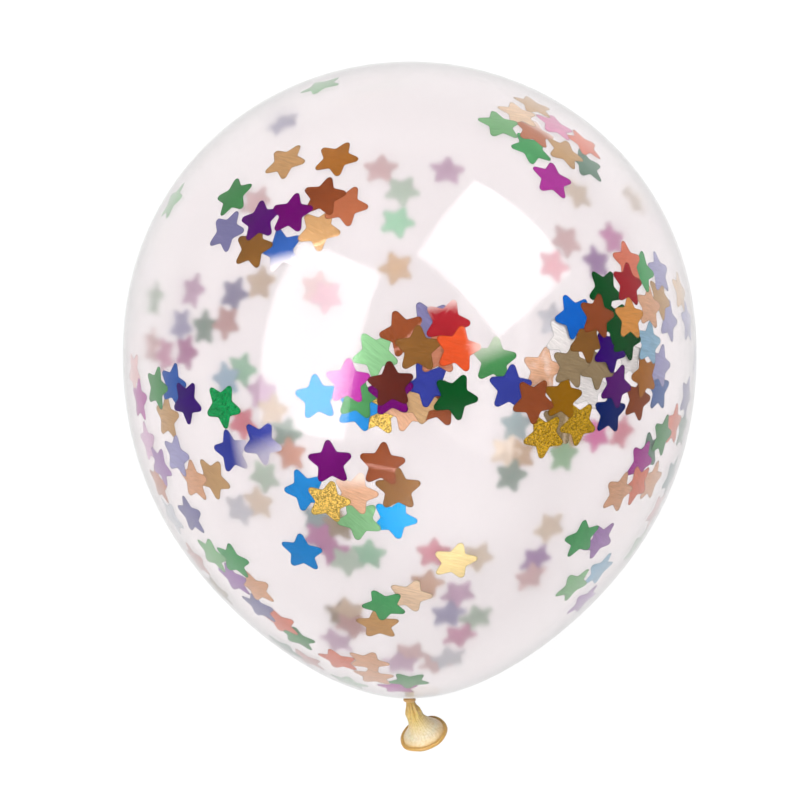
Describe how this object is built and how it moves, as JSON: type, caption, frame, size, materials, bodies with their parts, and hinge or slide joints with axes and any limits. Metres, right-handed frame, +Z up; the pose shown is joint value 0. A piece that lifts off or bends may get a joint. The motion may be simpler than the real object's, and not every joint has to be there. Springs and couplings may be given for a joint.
{
  "type": "confetti balloon",
  "caption": "Tied clear latex party balloon lying on its side, pear-shaped, with loose star confetti sealed inside and a short amber neck with an open rolled lip.",
  "frame": {"origin": "under the middle of the lying balloon's box, level with the flat spot that it rests on", "axes": "+Y along the balloon from the tied neck to the crown, +Z up, away from the surface it lies on, +X to the right as seen from above with the crown at the top"},
  "size_m": [0.28, 0.3378, 0.2782],
  "materials": {
    "clear_latex": "gloss",
    "amber_latex": "satin",
    "confetti_foil": "gloss",
    "confetti_glitter": "satin"
  },
  "bodies": {
    "root": {"balloon": "clear_latex"}
  },
  "joints": []
}
